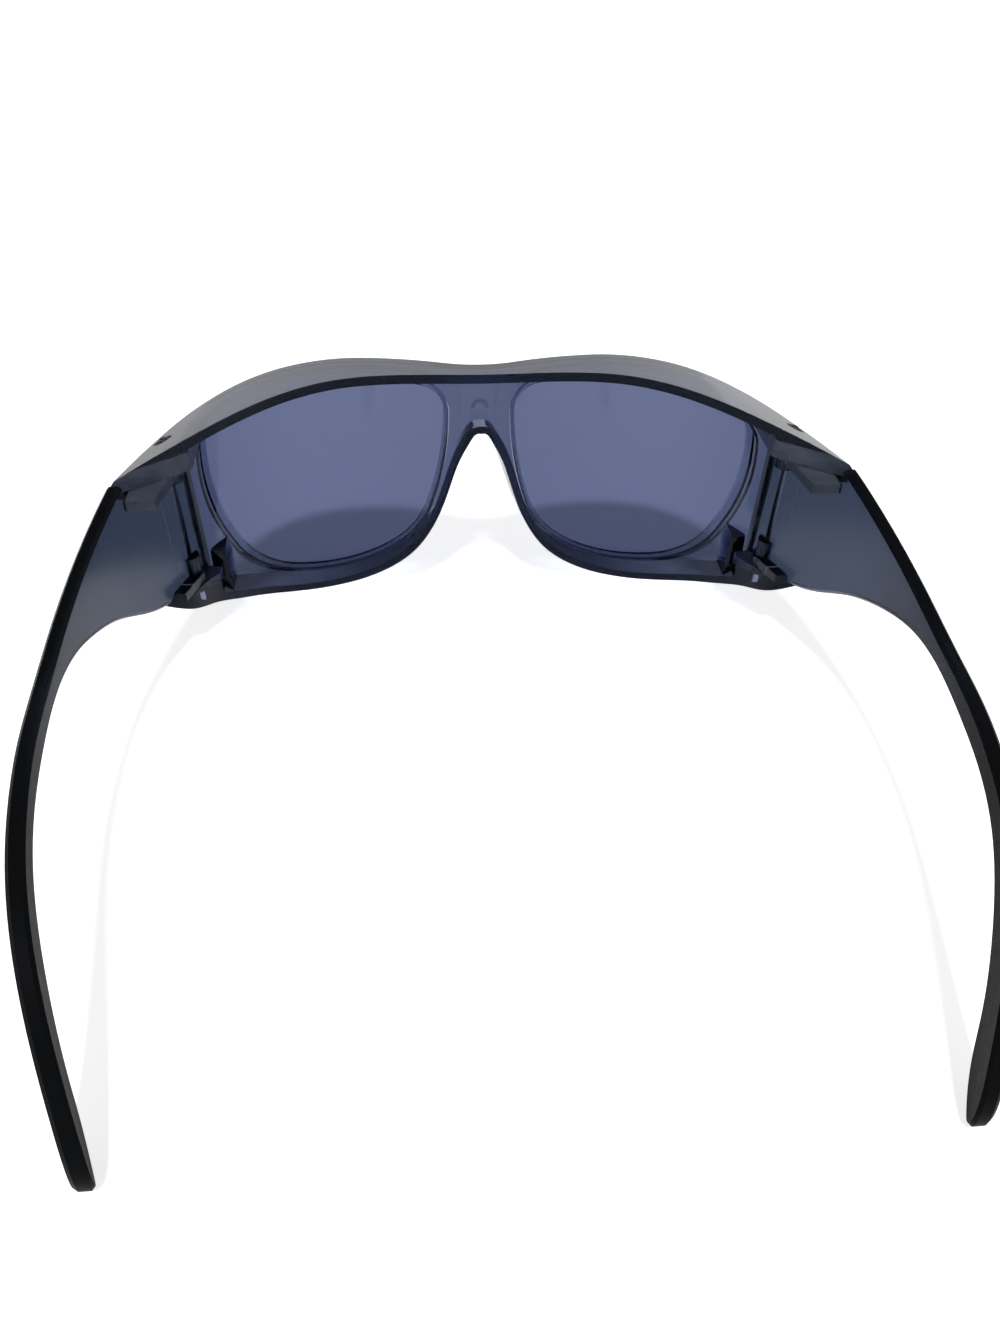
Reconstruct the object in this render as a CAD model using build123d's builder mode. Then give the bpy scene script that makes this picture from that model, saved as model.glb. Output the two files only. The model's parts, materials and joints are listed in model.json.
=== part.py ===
# Fitover sunglasses: a wrap-round front with two lenses, and two folding side shields with slim arms.
# Millimetres. Z is up, the lenses face -Y and the arms run to +Y. X is 0 midway between the lenses, and the
# wearer's left is +X. The origin is on the table, under the middle of the open glasses.
import os
from math import cos, hypot, radians, sin

from build123d import *

os.makedirs("parts", exist_ok=True)

# Overall sizes
half_width = 72.0  # middle to the roof's outer corner
wrap_depth = 45.6  # foremost line of the brow to the roof's outer corner
arm_run = 110.0  # roof's outer corner to the tip of the arm, front to back
front_height = 54.0  # lowest line of the rims to the roof's rear edge
lean = radians(5.7)  # the lenses lean back towards the cheeks
roof_slope = radians(8.0)  # the roof falls towards the brow

# Plastic thicknesses
front_wall = 3.4
roof_thickness = 2.0
flange_thickness = 1.8
arm_thickness = 2.8

# Lenses
lens_thickness = 1.8
front_lip = 0.8  # plastic in front of the lens
groove_depth = 1.0
lens_clearance = 0.1
lens_edge_clearance = 0.15

# Hinges: one upright axis a side, with a screw down through the roof and one up through the lug
axis_x = 63.6
axis_behind_brow = 30.1
lug_top = 14.5
roof_pad_underside = 44.4
knuckle_thickness = 2.0
knuckle_radius = 2.8
knuckle_reach = 14.0
boss_radius = 2.2
upper_boss_height = 3.0
lower_boss_height = 4.0
swing_radius = 5.4  # rounded front end of the side shield
hinge_clearance = 0.3
running_clearance = 0.05
pad_reach = 5.4  # hinge pad, from the axis towards the middle

# Hinge screws
screw_radius = 0.7
screw_length = 8.0  # under the head
head_radius = 1.1
head_height = 0.6
drive_slot_width = 0.3
drive_slot_depth = 0.3
upper_screw_grip = 3.1  # plastic under the head, in the roof
lower_screw_grip = 1.9  # plastic under the head, in the lug
thread_clearance = 0.02
recess_clearance = 0.25
recess_length = 3.9
recess_angle = 52.0  # degrees, outwards and back along the roof

# Stop post that the side shield meets when it is fully open
post_width = 3.6
post_inset = 3.6  # axis to the near side of the post
post_rear = 4.6  # axis to the rear of the post, forwards
post_height = 4.0  # above the lug

# Half-round gate mark, raised on the rear of the bridge
mark_radius = 1.8
mark_width = 0.6
mark_height = 0.3
mark_drop = 9.9  # its centre, below the roof

rear_step_height = 43.8  # the roof's rear edge is cut above this, the flange's and shelves' below
nose_flare = 1.6  # how much wider the nose arch is at its rear, on each side
pad_corner = 3.0
brow_chamfer = 1.0  # along the front edge of the roof
rim_chamfer = 0.6  # along the lower edge and the nose arch
arm_chamfer = 0.6  # along the temples
overrun = 20.0  # how far cutting tools run past what they cut
rim_overrun = 1.8  # how far the surface of the lower edge starts before the brow

brow_y = -(wrap_depth + arm_run) / 2
corner_y = brow_y + wrap_depth
axis_y = brow_y + axis_behind_brow

# Plan of the outer surface from the bridge outwards, as the points where one arc runs into the next, and past
# the arm's tip: shares of half_width across, and of wrap_depth or arm_run front to back
front_plan_shares = ((0, 0.152), (0.1, 0.116), (0.578, 0.027), (0.781, 0.208), (0.893, 0.479))
arm_plan_shares = ((0.758, 1.106),)
# Rear edges in plan: of the roof, and of the nose flange, shelves and lugs
roof_rear_shares = ((0, 0.342), (0.278, 0.331), (0.556, 0.478), (0.806, 0.781), (1, 0.998), (1.15, 1.16))
shelf_rear_shares = (
    (0, 0.364), (0.12, 0.344), (0.23, 0.322), (0.45, 0.3), (0.575, 0.34), (0.7, 0.44), (0.77, 0.545),
    (0.83, 0.66), (0.885, 0.79), (0.94, 0.845), (1.1, 0.85),
)
# Seen from the front, as shares of half_width across and of front_height up: fall of the roof towards its
# corners, in arcs after the first stretch, and the lower edge with the nose arch
roof_crown_shares = ((0, 0), (0.35, 0), (0.773, -0.091), (1.12, -0.29))
rim_edge_shares = (
    (0, 0.757), (0.035, 0.742), (0.062, 0.675), (0.086, 0.55), (0.139, 0.352), (0.229, 0.16), (0.36, 0.044),
    (0.54, 0), (0.76, 0.088), (0.9, 0.213), (1.1, 0.33),
)
# How much of the flare each point of the lower edge takes
nose_flare_shares = (1, 1, 1, 1, 1, 0.8, 0.15, 0, 0, 0, 0)
# Lens opening, seen from the front, clockwise from its highest point, as the joints of its arcs
opening_shares = (
    (0.315, 0.894), (0.777, 0.82), (0.828, 0.738), (0.769, 0.255), (0.71, 0.132), (0.593, 0.05), (0.25, 0.184),
    (0.172, 0.334), (0.105, 0.792), (0.176, 0.89),
)
# Side view of a temple behind the roof's corner: upper edge going back, then lower edge coming forwards, as
# shares of arm_run back and of front_height up
temple_upper_shares = (
    (0.004, 0.868), (0.1, 0.812), (0.27, 0.722), (0.4, 0.672), (0.52, 0.655), (0.62, 0.634), (0.71, 0.605),
    (0.8, 0.545), (0.89, 0.42), (0.965, 0.24),
)
temple_tip_shares = ((0.998, 0.09), (0.985, 0.012), (0.945, 0.025))
temple_lower_shares = (
    (0.88, 0.2), (0.8, 0.38), (0.71, 0.495), (0.62, 0.545), (0.5, 0.573), (0.38, 0.597),
    (0.29, 0.584), (0.2, 0.533), (0.1, 0.445), (0.02, 0.345),
)
knuckle_back_share = 0.012  # rear of the upper knuckle plate, behind the roof's corner, in arm runs


def across(shares, length, start=0.0):
    """Points of a half outline: half widths across, and shares of a length from where it starts."""
    return [(half_width * x, start + length * y) for x, y in shares]


def both_halves(half):
    """The whole outline, from its half on the +X side."""
    return [(-x, y) for x, y in reversed(half[1:])] + list(half)


def beside(points, distances):
    """The same outline moved sideways, to the left of its direction of travel."""
    moved = []
    for i, ((x, y), distance) in enumerate(zip(points, distances)):
        x0, y0 = points[max(i - 1, 0)]
        x1, y1 = points[min(i + 1, len(points) - 1)]
        run = hypot(x1 - x0, y1 - y0)
        moved.append((x - distance * (y1 - y0) / run, y + distance * (x1 - x0) / run))
    return moved


def tangent_arcs(points):
    """Arcs from point to point: the first sets out along X, and each goes on in the direction of the last."""
    heading = (1, 0)
    for start, end in zip(points, points[1:]):
        arc = TangentArc(start, end, tangent=heading)
        heading = arc % 1


plan_points = across(front_plan_shares, wrap_depth) + across(arm_plan_shares, arm_run, wrap_depth)

with BuildSketch(Plane.XZ.offset(-axis_y)) as lens_opening:
    with BuildLine():
        tangent_arcs(across(opening_shares + opening_shares[:1], front_height))
    make_face()

# The front leans, so its plan is drawn square to the lean, at the height of the brow
lean_plane = Plane(
    origin=(0, brow_y, front_height), x_dir=(1, 0, 0), z_dir=(0, -sin(lean), cos(lean))
)
roof_plane = Plane(
    origin=(0, brow_y + wrap_depth * roof_rear_shares[0][1], front_height),
    x_dir=(1, 0, 0),
    z_dir=(0, -cos(roof_slope), -sin(roof_slope)),
)


def inside_wrap(depth):
    """All that lies deeper than depth behind the outer surface, from arm tip to arm tip."""
    with BuildPart() as inside:
        with BuildSketch(lean_plane):
            with BuildLine():
                tangent_arcs(plan_points)
                Line(plan_points[-1], (0, plan_points[-1][1]))
                mirror(about=Plane.YZ)
            make_face()
            if depth:
                offset(amount=-depth)
        extrude(amount=front_height + overrun, both=True)
    return inside.part


def under_roof(depth):
    """All that lies deeper than depth under the roof's upper surface."""
    with BuildPart() as under:
        with BuildSketch(roof_plane):
            with BuildLine():
                crown, *falling = across(roof_crown_shares, front_height)
                tangent_arcs(falling)
                side, foot = falling[-1][0], -front_height - overrun
                Polyline(falling[-1], (side, foot), (0, foot))
                Line(crown, falling[0])
                mirror(about=Plane.YZ)
            make_face()
            if depth:
                offset(amount=-depth)
        extrude(amount=wrap_depth + arm_run, both=True)
    return under.part


def above_rims(depth):
    """All that lies further in than depth from the lower edge of the front, nose arch included."""
    edge_points = both_halves(across(rim_edge_shares, front_height))
    flare_shares = both_halves([(0, share) for share in nose_flare_shares])
    flare_start = brow_y + wrap_depth * front_plan_shares[0][1]
    flare_end = brow_y + wrap_depth * shelf_rear_shares[0][1]
    with BuildPart() as above:
        for y in (brow_y - rim_overrun, corner_y):
            narrowing = nose_flare * (flare_end - y) / (flare_end - flare_start)
            with BuildSketch(Plane.XZ.offset(-y)):
                with BuildLine():
                    moves = [depth - narrowing * share for _, share in flare_shares]
                    edge = Spline(*beside(edge_points, moves))
                    left, right = edge @ 0, edge @ 1
                    top = front_height + overrun
                    Polyline(right, (right.X, top), (left.X, top), left)
                make_face()
        loft(ruled=True)
    return above.part


def front_block(wall, roof, rim):
    """The whole front as a solid, brought in from the wrap, the roof and the lower edge."""
    with BuildPart() as block:
        add(inside_wrap(wall))
        add(under_roof(roof), mode=Mode.INTERSECT)
        add(above_rims(rim), mode=Mode.INTERSECT)
    return block.part


def edges_on_wrap(faces):
    """The edges at which some faces of the front's block meet the wrap."""
    curved = faces.edges().filter_by(GeomType.LINE, reverse=True)
    return curved.filter_by(lambda edge: edge.bounding_box().min.Y < corner_y)


def lens_slab(depth, thickness, growth):
    """A slab that follows the wrap, cut to the lens opening with its edge moved outwards."""
    with BuildPart() as slab:
        add(inside_wrap(depth))
        add(inside_wrap(depth + thickness), mode=Mode.SUBTRACT)
        outline = offset(lens_opening.sketch, amount=growth, kind=Kind.INTERSECTION, mode=Mode.PRIVATE)
        extrude(outline, amount=overrun + wrap_depth, mode=Mode.INTERSECT)
    return slab.part


def on_axis(height, side=1):
    """Level plane at a height, centred on a hinge axis."""
    return Plane(origin=(side * axis_x, axis_y, height))


# Front frame: one moulding, hollow from behind but for the hinge pads under the roof and on the lugs
with BuildPart() as hinge_pads:
    for level, height in ((roof_pad_underside, overrun), (lug_top, -overrun)):
        with BuildSketch(on_axis(level)) as pad:
            with Locations((-pad_reach, 0)):
                Rectangle(half_width, wrap_depth, align=(Align.MIN, Align.CENTER))
            fillet(pad.vertices().group_by(Axis.X)[0], radius=pad_corner)
        extrude(amount=height)
    mirror(about=Plane.YZ)

with BuildPart() as hollow:
    add(front_block(front_wall, roof_thickness, flange_thickness))
    add(hinge_pads.part, mode=Mode.SUBTRACT)

with BuildPart() as bays:
    clear_radius = swing_radius + hinge_clearance
    with BuildSketch(on_axis(lug_top)):
        Circle(clear_radius)
        with Locations((-clear_radius, 0)):
            Rectangle(half_width, arm_run, align=(Align.MIN, Align.MIN))
    extrude(amount=roof_pad_underside - lug_top)
    mirror(about=Plane.YZ)

with BuildPart() as behind:
    for shares, height in ((roof_rear_shares, front_height), (shelf_rear_shares, -front_height)):
        with BuildSketch(Plane.XY.offset(rear_step_height)):
            with BuildLine():
                rear = Spline(*both_halves(across(shares, wrap_depth, brow_y)))
                left, right = rear @ 0, rear @ 1
                Polyline(right, (right.X, -brow_y), (left.X, -brow_y), left)
            make_face()
        extrude(amount=height)

with BuildPart() as lens_seats:
    add(lens_slab(front_lip, lens_thickness + 2 * lens_clearance, groove_depth))
    extrude(lens_opening.sketch, amount=wrap_depth + overrun)
    mirror(about=Plane.YZ)

# A head recess and a thread in each roof pad and each lug; the roof's recess runs on outwards as an oval
with BuildPart() as screw_cuts:
    recess_radius = head_radius + recess_clearance
    upper_seat = roof_pad_underside + upper_screw_grip
    lower_seat = lug_top - lower_screw_grip
    with BuildSketch(on_axis(upper_seat)):
        with PolarLocations(recess_length / 2 - recess_radius, 1, start_angle=recess_angle):
            SlotOverall(recess_length, 2 * recess_radius)
    extrude(amount=overrun)
    with BuildSketch(on_axis(lower_seat)):
        Circle(recess_radius)
    extrude(amount=-overrun)
    for level, height in ((roof_pad_underside, overrun), (lug_top, -overrun)):
        with BuildSketch(on_axis(level)):
            Circle(screw_radius + thread_clearance)
        extrude(amount=height)
    mirror(about=Plane.YZ)

with BuildPart() as stop_posts:
    rear_lip = front_wall - front_lip - lens_thickness - 2 * lens_clearance
    add(front_block(front_wall - rear_lip / 2, roof_thickness, flange_thickness / 2))
    with BuildSketch(on_axis(0)):
        with Locations((-post_inset, -post_rear)):
            Rectangle(post_width, wrap_depth, align=(Align.MAX, Align.MAX))
    extrude(amount=lug_top + post_height, mode=Mode.INTERSECT)
    mirror(about=Plane.YZ)

with BuildPart() as gate_mark:
    bridge_y = brow_y + wrap_depth * front_plan_shares[0][1]
    bridge = Plane(origin=(0, bridge_y, front_height), x_dir=(-1, 0, 0), z_dir=(0, cos(lean), sin(lean)))
    with BuildSketch(bridge.offset(front_wall / 2)):
        with Locations((0, -mark_drop)):
            Circle(mark_radius)
            Circle(mark_radius - mark_width, mode=Mode.SUBTRACT)
            Rectangle(2 * mark_radius, mark_radius, align=(Align.CENTER, Align.MIN), mode=Mode.INTERSECT)
    extrude(amount=front_wall / 2 + mark_height)

with BuildPart() as frame_front:
    add(front_block(0, 0, 0))
    roof_faces = frame_front.faces().filter_by(lambda face: face.normal_at().Z > cos(radians(45)))
    chamfer(edges_on_wrap(roof_faces), length=brow_chamfer)
    chamfer(edges_on_wrap(frame_front.faces().sort_by(Axis.Z)[:1]), length=rim_chamfer)
    add(hollow.part, mode=Mode.SUBTRACT)
    add(bays.part, mode=Mode.SUBTRACT)
    add(stop_posts.part)
    add(gate_mark.part)
    add(behind.part, mode=Mode.SUBTRACT)
    add(lens_seats.part, mode=Mode.SUBTRACT)
    add(screw_cuts.part, mode=Mode.SUBTRACT)

# Lenses, cut from a slab that follows the wrap, with their edges in the grooves
with BuildPart() as lens_left:
    add(lens_slab(front_lip + lens_clearance, lens_thickness, groove_depth - lens_edge_clearance))
with BuildPart() as lens_right:
    mirror(lens_left.part, about=Plane.YZ)

# Temples: a side shield behind the front's end, tapering to an arm that drops behind the ear
temple_bottom = lug_top + hinge_clearance
temple_top = roof_pad_underside - hinge_clearance
lug_rear = brow_y + wrap_depth * shelf_rear_shares[-1][1]


def beside_arm(shares):
    """Points of the temple's side view."""
    return [(corner_y + arm_run * y, front_height * z) for y, z in shares]


with BuildPart() as knuckles:
    plate_back = corner_y + arm_run * knuckle_back_share - axis_y
    levels = (
        (temple_top, -knuckle_thickness, -upper_boss_height, plate_back),
        (temple_bottom, knuckle_thickness, lower_boss_height, lug_rear - axis_y),
    )
    for level, plate, boss, back in levels:
        with BuildSketch(on_axis(level)):
            Circle(knuckle_radius)
            with BuildLine():
                Polyline(
                    (-knuckle_radius, 0), (0, back), (knuckle_reach, back), (knuckle_reach, 0), close=True
                )
            make_face()
        extrude(amount=plate)
        with BuildSketch(on_axis(level + plate)):
            Circle(boss_radius)
        extrude(amount=boss)
    add(inside_wrap(0), mode=Mode.INTERSECT)

with BuildPart() as temple_left:
    add(inside_wrap(0))
    add(inside_wrap(arm_thickness), mode=Mode.SUBTRACT)
    front_y = axis_y - swing_radius - overrun
    with BuildSketch(Plane.YZ):
        with BuildLine():
            arm_shares = temple_upper_shares + temple_tip_shares + temple_lower_shares
            edge = Spline(*beside_arm(arm_shares), (lug_rear, temple_bottom))
            Polyline(
                edge @ 1, (front_y, temple_bottom), (front_y, temple_top),
                ((edge @ 0).X, temple_top), edge @ 0,
            )
        make_face()
    extrude(amount=half_width + overrun, mode=Mode.INTERSECT)
    edge_face = temple_left.faces().filter_by(GeomType.EXTRUSION)
    chamfer(edge_face.edges().filter_by(GeomType.LINE, reverse=True), length=arm_chamfer)
    with BuildSketch(on_axis(0)):
        Circle(swing_radius)
        Rectangle(half_width, 2 * arm_run, align=(Align.CENTER, Align.MIN))
    extrude(amount=front_height, mode=Mode.INTERSECT)
    add(knuckles.part)
    with BuildSketch(on_axis(0)):
        Circle(screw_radius + running_clearance)
    extrude(amount=front_height, mode=Mode.SUBTRACT)
with BuildPart() as temple_right:
    mirror(temple_left.part, about=Plane.YZ)


def hinge_screw(seat):
    """A slotted cheese-head screw: its head rests on the plane, its shank runs down from it."""
    with BuildPart() as screw:
        with BuildSketch(seat):
            Circle(head_radius)
        extrude(amount=head_height)
        with BuildSketch(seat.offset(head_height)):
            Rectangle(2 * head_radius, drive_slot_width)
        extrude(amount=-drive_slot_depth, mode=Mode.SUBTRACT)
        with BuildSketch(seat):
            Circle(screw_radius)
        extrude(amount=-screw_length)
    return screw.part


pieces = {
    "frame_front": frame_front.part,
    "lens_left": lens_left.part,
    "lens_right": lens_right.part,
    "temple_left": temple_left.part,
    "temple_right": temple_right.part,
}
for side, name in ((1, "left"), (-1, "right")):
    below = Plane(origin=(side * axis_x, axis_y, lower_seat), z_dir=(0, 0, -1))
    pieces["hinge_screw_upper_" + name] = hinge_screw(on_axis(upper_seat, side))
    pieces["hinge_screw_lower_" + name] = hinge_screw(below)

for name, piece in pieces.items():
    piece.label = name
    export_step(piece, "parts/" + name + ".step")
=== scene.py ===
# Fitover sunglasses on a white table, seen from behind and above, as the wearer would pick them up.
import json
from math import cos, radians, sin

import bpy
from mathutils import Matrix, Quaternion, Vector

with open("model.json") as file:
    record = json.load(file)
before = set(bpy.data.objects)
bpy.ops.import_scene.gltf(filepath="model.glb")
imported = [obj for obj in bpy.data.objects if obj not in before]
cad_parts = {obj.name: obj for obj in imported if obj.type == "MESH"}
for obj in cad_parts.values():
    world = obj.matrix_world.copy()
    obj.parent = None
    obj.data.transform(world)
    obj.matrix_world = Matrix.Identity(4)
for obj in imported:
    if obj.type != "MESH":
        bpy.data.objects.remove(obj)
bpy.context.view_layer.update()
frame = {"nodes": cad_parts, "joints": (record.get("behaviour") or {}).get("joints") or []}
nodes = frame["nodes"]

# Camera. It looks down over the open arms into the back of the front, close enough for a strong perspective.
# The arms almost fill the width of the picture.
camera_place = Vector((0.01471, 0.14266, 0.14627))
camera_turn = radians(5.63)
camera_dip = radians(39.9)
camera_roll = radians(1.5)
film_height = 36.0
focal_length = 27.98
nearest_seen = 0.001

camera_data = bpy.data.cameras.new("camera")
camera_data.sensor_fit = "VERTICAL"
camera_data.sensor_height = film_height
camera_data.lens = focal_length
camera_data.clip_start = nearest_seen
camera = bpy.data.objects.new("camera", camera_data)
ahead = Vector((
    -sin(camera_turn) * cos(camera_dip), -cos(camera_turn) * cos(camera_dip), -sin(camera_dip)
))
camera.rotation_mode = "QUATERNION"
camera.rotation_quaternion = ahead.to_track_quat("-Z", "Y") @ Quaternion((0, 0, 1), camera_roll)
camera.location = camera_place
bpy.context.scene.collection.objects.link(camera)
bpy.context.scene.camera = camera
bpy.context.scene.view_settings.view_transform = "Standard"


# Table. A white sheet of card, far wider than the picture, a hair below the lowest points of the glasses. The
# light brings it almost to white and it keeps their soft shadow. A faint glow of its own lifts it to full
# white in the picture.
class Wire:
    """One output of a shader node. Arithmetic and comparison add Math nodes to the same tree."""

    def __init__(self, socket):
        self.socket = socket
        self.tree = socket.id_data

    def node(self, kind, settings, output, sockets):
        """Any other node: first its settings, then values or wires for its sockets, by identifier."""
        made = self.tree.nodes.new(kind)
        for name, value in settings.items():
            if name == "stops":
                while len(made.color_ramp.elements) < len(value):
                    made.color_ramp.elements.new(1)
                for element, (position, colour) in zip(made.color_ramp.elements, value):
                    element.position = position
                    element.color = colour
            else:
                setattr(made, name, value)
        for name, value in sockets.items():
            socket = next(entry for entry in made.inputs if entry.identifier == name)
            if isinstance(value, Wire):
                self.tree.links.new(value.socket, socket)
            else:
                socket.default_value = value
        return Wire(made.outputs[output]) if output else None

    def maths(self, operation, first, second):
        """Math on two numbers, of which at least one is a wire."""
        settings = {"operation": operation}
        return self.node("ShaderNodeMath", settings, "Value", {"Value": first, "Value_001": second})

    def vector(self, operation, other=None, output="Vector"):
        """Vector Math on this wire and, where the operation takes two, on another vector."""
        sockets = {"Vector": self}
        if other is not None:
            sockets["Vector_001"] = other
        return self.node("ShaderNodeVectorMath", {"operation": operation}, output, sockets)

    def along(self, axis):
        """One of the three numbers of a vector."""
        return self.node("ShaderNodeSeparateXYZ", {}, axis, {"Vector": self})

    def __add__(self, other):
        return self.maths("ADD", self, other)

    def __radd__(self, other):
        return self.maths("ADD", other, self)

    def __sub__(self, other):
        return self.maths("SUBTRACT", self, other)

    def __rsub__(self, other):
        return self.maths("SUBTRACT", other, self)

    def __mul__(self, other):
        return self.maths("MULTIPLY", self, other)

    def __rmul__(self, other):
        return self.maths("MULTIPLY", other, self)

    def __lt__(self, other):
        return self.maths("LESS_THAN", self, other)

    def __gt__(self, other):
        return self.maths("GREATER_THAN", self, other)


def new_material(name):
    """An empty material, and the place on the object as the first wire of its tree."""
    material = bpy.data.materials.new(name)
    material.use_nodes = True
    material.node_tree.nodes.clear()
    coordinates = material.node_tree.nodes.new("ShaderNodeTexCoord")
    return material, Wire(coordinates.outputs["Object"])


def rays_that_show(wire):
    """1 for the rays that show a surface to the eye: direct ones, and those in gloss and through plastic."""
    camera_rays = wire.node("ShaderNodeLightPath", {}, "Is Camera Ray", {})
    glossy_rays = wire.node("ShaderNodeLightPath", {}, "Is Glossy Ray", {})
    passed_rays = wire.node("ShaderNodeLightPath", {}, "Is Transmission Ray", {})
    shown = camera_rays + glossy_rays + passed_rays
    return camera_rays, shown.node("ShaderNodeClamp", {}, "Result", {"Value": shown})


def noise(place, scale, detail=2.0):
    """A cloudy number from 0 to 1. The scale is about the count of spots in a metre."""
    return place.node("ShaderNodeTexNoise", {}, "Fac", {"Vector": place, "Scale": scale, "Detail": detail})


def bump(height, strength, distance):
    """A surface direction that is roughened by a height of 0 to 1, at most the distance deep."""
    sockets = {"Strength": strength, "Distance": distance, "Height": height}
    return height.node("ShaderNodeBump", {}, "Normal", sockets)


white = (1, 1, 1, 1)
sheet_half = 3.0
sheet_level = -0.00002
sheet_colour = (0.86, 0.86, 0.86, 1)
grain_scale = 900.0
grain_strength = 0.05
grain_depth = 0.0001
glow_in_plastic = 0.3
glow_in_picture = 0.42

sheet_mesh = bpy.data.meshes.new("sheet")
sheet_corners = [
    (side * sheet_half, depth * sheet_half, sheet_level)
    for side, depth in ((-1, -1), (1, -1), (1, 1), (-1, 1))
]
sheet_mesh.from_pydata(sheet_corners, [], [(0, 1, 2, 3)])
sheet = bpy.data.objects.new("sheet", sheet_mesh)
bpy.context.scene.collection.objects.link(sheet)

card, place = new_material("white_card")
camera_rays, shown = rays_that_show(place)
grain = bump(noise(place, grain_scale), grain_strength, grain_depth)
matte = place.node("ShaderNodeBsdfDiffuse", {}, "BSDF", {"Color": sheet_colour, "Normal": grain})
glow_strength = glow_in_plastic * shown + glow_in_picture * camera_rays
glow = place.node("ShaderNodeEmission", {}, "Emission", {"Color": white, "Strength": glow_strength})
face = place.node("ShaderNodeAddShader", {}, "Shader", {"Shader": matte, "Shader_001": glow})
place.node("ShaderNodeOutputMaterial", {}, None, {"Surface": face})
sheet_mesh.materials.append(card)

# Light. One small bright lamp high behind the glasses throws their shadow forwards, and a pale room fills it.
# The room is bright near the table and darker overhead, which the polished plastic shows.
key_direction = Vector((0.05, 0.42, 0.9))
key_strength = 1.9
key_spread = radians(5.2)
room_fill = 0.25
room_shades = ((0.2, 0.8), (0.45, 0.5), (0.7, 0.15))

key_data = bpy.data.lights.new("key_lamp", "SUN")
key_data.energy = key_strength
key_data.angle = key_spread
key = bpy.data.objects.new("key_lamp", key_data)
key.rotation_mode = "QUATERNION"
key.rotation_quaternion = (-key_direction).to_track_quat("-Z", "Y")
bpy.context.scene.collection.objects.link(key)

room = bpy.data.worlds.new("studio")
room.use_nodes = True
room.node_tree.nodes.clear()
coordinates = room.node_tree.nodes.new("ShaderNodeTexCoord")
direction = Wire(coordinates.outputs["Generated"])
camera_rays, shown = rays_that_show(direction)
stops = [(height, (shade, shade, shade, 1)) for height, shade in room_shades]
walls = direction.node("ShaderNodeValToRGB", {"stops": stops}, "Color", {"Fac": direction.along("Z")})
seen_strength = camera_rays + (shown - camera_rays) * walls
strength = seen_strength + room_fill * (1 - shown)
backdrop = direction.node("ShaderNodeBackground", {}, "Background", {"Color": white, "Strength": strength})
direction.node("ShaderNodeOutputWorld", {}, None, {"Surface": backdrop})
bpy.context.scene.world = room

# Front. One moulding of smoke-tinted polycarbonate. Light fades on its way through, so thin walls look
# grey-blue and long edges almost black. It is polished, but for the mark of the mould's gate behind the
# bridge. The faces at the hinges are painted a paler matt colour that stands in for the reflections there,
# and the shelf under the lenses gets a dark painted shade that deepens towards the nose.
smoke_index = 1.58
smoke_sheen = (0.22, 0.27, 0.4, 1)
smoke_shadow = (0.9, 0.9, 0.9, 1)
wave_scale = 45.0
wave_depth = 0.0005
haze_scale = 700.0
haze_detail = 3.0
matt_scale = 1500.0
matt_strength = 0.12
matt_depth = 0.00005
matt_roughness = 0.5
matt_gloss = 0.2
cloud_scale = 160.0
cloud_least = 0.1
cloud_most = 0.6

front_tint = (0.33, 0.39, 0.56, 1)
front_density = 1030.0
front_haze = (0.03, 0.09)
front_ripple = 0.1
front_painted_reflection = (0.17, 0.2, 0.28, 1)
gate_place = (0.0, -0.0665, 0.0445)
gate_inside = 0.0012
gate_outside = 0.0022
gate_dullness = 0.4

hinge_x, hinge_y = frame["joints"][0]["pos_m"][:2]
drum_skin = 0.0001
bay_radius = 0.0057
bay_low = 0.0145
bay_high = 0.0444
pad_near = (0.0565, 0.025, 0.0438)
pad_far = (0.08, 0.0535, 0.0482)
pad_slope = 0.5
box_slack = 0.000001

shelf_painted_shade = (0.017, 0.023, 0.05, 1)
shelf_height = 0.019
shelf_slope = 0.45
shelf_outer_end = 0.048
shelf_inner_end = 0.018
shelf_least = 0.4
shelf_cloud = 0.2
shelf_inwards = 0.3


def mix(share, first, second):
    """Two surfaces in one: the share is how much shows of the second."""
    sockets = {"Fac": share, "Shader": first, "Shader_001": second}
    return first.node("ShaderNodeMixShader", {}, "Shader", sockets)


def slide(number, start, end):
    """Rises smoothly from 0 at the start to 1 at the end."""
    sockets = {"Value": number, "From Min": start, "From Max": end}
    return number.node("ShaderNodeMapRange", {"interpolation_type": "SMOOTHSTEP"}, "Result", sockets)


def haze(place, least, most):
    """Roughness that wanders from spot to spot, as handling leaves it."""
    return least + (most - least) * noise(place, haze_scale, haze_detail)


def clear_smoke(place, roughness, ripple):
    """The surface of polished see-through plastic, with a faint ripple of the mould."""
    polished = place.node("ShaderNodeBsdfPrincipled", {}, "BSDF", {
        "Base Color": white, "Roughness": roughness, "IOR": smoke_index, "Transmission Weight": 1.0,
        "Specular Tint": smoke_sheen, "Normal": bump(noise(place, wave_scale), ripple, wave_depth),
    })
    open_way = place.node("ShaderNodeBsdfTransparent", {}, "BSDF", {"Color": smoke_shadow})
    shadow_rays = place.node("ShaderNodeLightPath", {}, "Is Shadow Ray", {})
    return mix(shadow_rays, polished, open_way)


def painted_matt_smoke(place, colour):
    """An opaque matt surface of the given colour, painted over the clear plastic: paler at the hinges as
    painted reflection, dark on the shelf as painted shade. It scatters light and can't be seen through.
    """
    return place.node("ShaderNodeBsdfPrincipled", {}, "BSDF", {
        "Base Color": colour, "Roughness": matt_roughness, "Specular IOR Level": matt_gloss,
        "Normal": bump(noise(place, matt_scale), matt_strength, matt_depth),
    })


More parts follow.
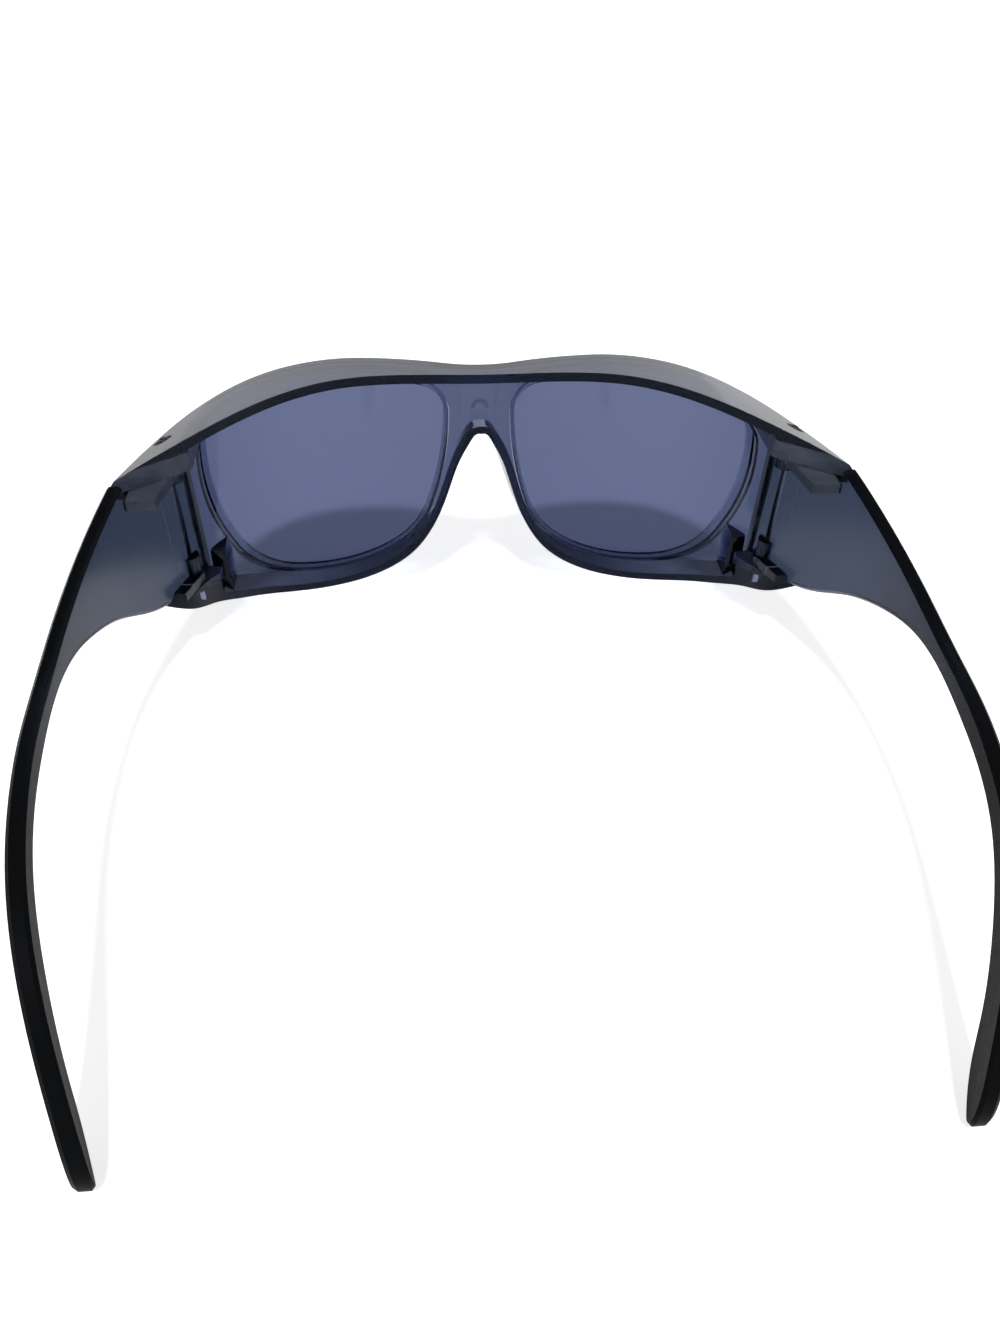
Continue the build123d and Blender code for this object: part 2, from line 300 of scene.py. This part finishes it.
def on_drum(place, radius):
    """1 on the upright round faces about the hinge axes, where front and temple turn past each other."""
    off_axis = place.vector("ABSOLUTE").vector("SUBTRACT", (hinge_x, -hinge_y, 0))
    reach = off_axis.vector("MULTIPLY", (1, 1, 0)).vector("LENGTH", output="Value")
    height = place.along("Z")
    near = (reach > radius - drum_skin) * (reach < radius + drum_skin)
    from_inside = place.node("ShaderNodeNewGeometry", {}, "Backfacing", {})
    return near * (height > bay_low) * (height < bay_high) * (1 - from_inside)


def hinge_box(place, near, far):
    """1 inside a box at either hinge. Its corners are given as distances from the middle of the frame."""
    folded = place.vector("ABSOLUTE")
    held = folded.vector("MAXIMUM", near).vector("MINIMUM", far)
    return folded.vector("DISTANCE", held, output="Value") < box_slack


def patchy_painted_reflection(place):
    """How much of the painted matt colour shows on the faces at the hinges, from spot to spot."""
    return cloud_least + (cloud_most - cloud_least) * noise(place, cloud_scale)


def finish_smoke(place, surface, passed, density):
    """Gives the tree its outputs: the surface, and the tint inside."""
    tint = place.node("ShaderNodeVolumeAbsorption", {}, "Volume", {"Color": passed, "Density": density})
    place.node("ShaderNodeOutputMaterial", {}, None, {"Surface": surface, "Volume": tint})


def wear(material, names):
    """The nodes wear the material."""
    for name in names:
        nodes[name].data.materials.clear()
        nodes[name].data.materials.append(material)


front_plastic, place = new_material("front_plastic")
off_gate = place.vector("SUBTRACT", gate_place)
gate_reach = off_gate.vector("LENGTH", output="Value")
gate_mark = (gate_reach < gate_outside) * (gate_reach > gate_inside) * (off_gate.along("Z") > 0)
polished = clear_smoke(place, haze(place, *front_haze) + gate_dullness * gate_mark, front_ripple)

facing_up = place.node("ShaderNodeNewGeometry", {}, "True Normal", {}).along("Z")
# Painted reflection: the round faces at the hinges get a paler matt colour fully, the pads under the roof in
# patches.
pad_faces = hinge_box(place, pad_near, pad_far) * (facing_up < pad_slope)
painted_reflection_share = place.maths("MAXIMUM", on_drum(place, bay_radius), patchy_painted_reflection(place) * pad_faces)
surface = mix(painted_reflection_share, polished, painted_matt_smoke(place, front_painted_reflection))

# Painted shade: a dark matt colour laid over the upward faces of the shelf under the lenses, deeper towards
# the nose.
on_shelf = (place.along("Z") < shelf_height) * (facing_up > shelf_slope)
inwards = slide(place.vector("ABSOLUTE").along("X"), shelf_outer_end, shelf_inner_end)
shelf_shade_share = on_shelf * (shelf_least + shelf_cloud * noise(place, cloud_scale) + shelf_inwards * inwards)
surface = mix(shelf_shade_share, surface, painted_matt_smoke(place, shelf_painted_shade))
finish_smoke(place, surface, front_tint, front_density)
wear(front_plastic, ["frame_front"])

# Lenses. Curved sheets of smoke-blue polycarbonate, clearer and smoother than the front. Each is cut to its
# opening and snapped into the groove round it.
lens_tint = (0.441, 0.491, 0.653, 1)
lens_density = 1950.0
lens_haze = (0.02, 0.05)
lens_ripple = 0.03

lens_plastic, place = new_material("lens_plastic")
surface = clear_smoke(place, haze(place, *lens_haze), lens_ripple)
finish_smoke(place, surface, lens_tint, lens_density)
wear(lens_plastic, ["lens_left", "lens_right"])

# Temples. The same smoke plastic in a deeper tint, see-through at the side shield, and so thick and dark in
# the arm that it looks black. Its surface is a little duller than the front's. At the hinges its plates and
# round faces are painted a paler matt colour that stands in for the reflections there.
temple_tint = (0.3, 0.37, 0.5, 1)
temple_density = 1400.0
shield_haze = (0.15, 0.3)
shield_ripple = 0.1
shield_end = -0.025
shield_painted_reflection = (0.16, 0.185, 0.25, 1)
swing_radius = 0.0054
plate_near = (0.05, 0.02, 0.0419)
plate_far = (0.069, 0.056, 0.0443)
arm_start = 0.045
arm_colour = (0.004, 0.0045, 0.0055, 1)
arm_roughness = 0.35
arm_wear = 0.15
arm_wear_scale = 500.0
arm_wear_detail = 3.0
arm_gloss = 0.03

temple_plastic, place = new_material("temple_plastic")
# Painted reflection: the knuckle plates get a paler matt colour in patches, the round faces at the hinge
# fully.
plates = hinge_box(place, plate_near, plate_far)
painted_reflection_share = place.maths("MAXIMUM", on_drum(place, swing_radius), patchy_painted_reflection(place) * plates)
polished = clear_smoke(place, haze(place, *shield_haze), shield_ripple)
shield = mix(painted_reflection_share, polished, painted_matt_smoke(place, shield_painted_reflection))
arm_dullness = arm_roughness + arm_wear * noise(place, arm_wear_scale, arm_wear_detail)
arm = place.node("ShaderNodeBsdfPrincipled", {}, "BSDF", {
    "Base Color": arm_colour, "Roughness": arm_dullness, "Specular IOR Level": arm_gloss,
})
surface = mix(slide(place.along("Y"), shield_end, arm_start), shield, arm)
finish_smoke(place, surface, temple_tint, temple_density)
wear(temple_plastic, ["temple_left", "temple_right"])

# Hinge screws. Small slotted steel screws, turned and then blackened: two go down through the roof, two up
# through the lugs.
steel_colour = (0.1, 0.1, 0.105, 1)
steel_roughness = 0.25
steel_brushing = 0.2
brushing_scale = 2500.0

screw_steel, place = new_material("screw_steel")
steel_dullness = steel_roughness + steel_brushing * noise(place, brushing_scale)
steel = place.node("ShaderNodeBsdfPrincipled", {}, "BSDF", {
    "Base Color": steel_colour, "Metallic": 1.0, "Roughness": steel_dullness,
})
place.node("ShaderNodeOutputMaterial", {}, None, {"Surface": steel})
wear(screw_steel, [name for name in nodes if name.startswith("hinge_screw")])
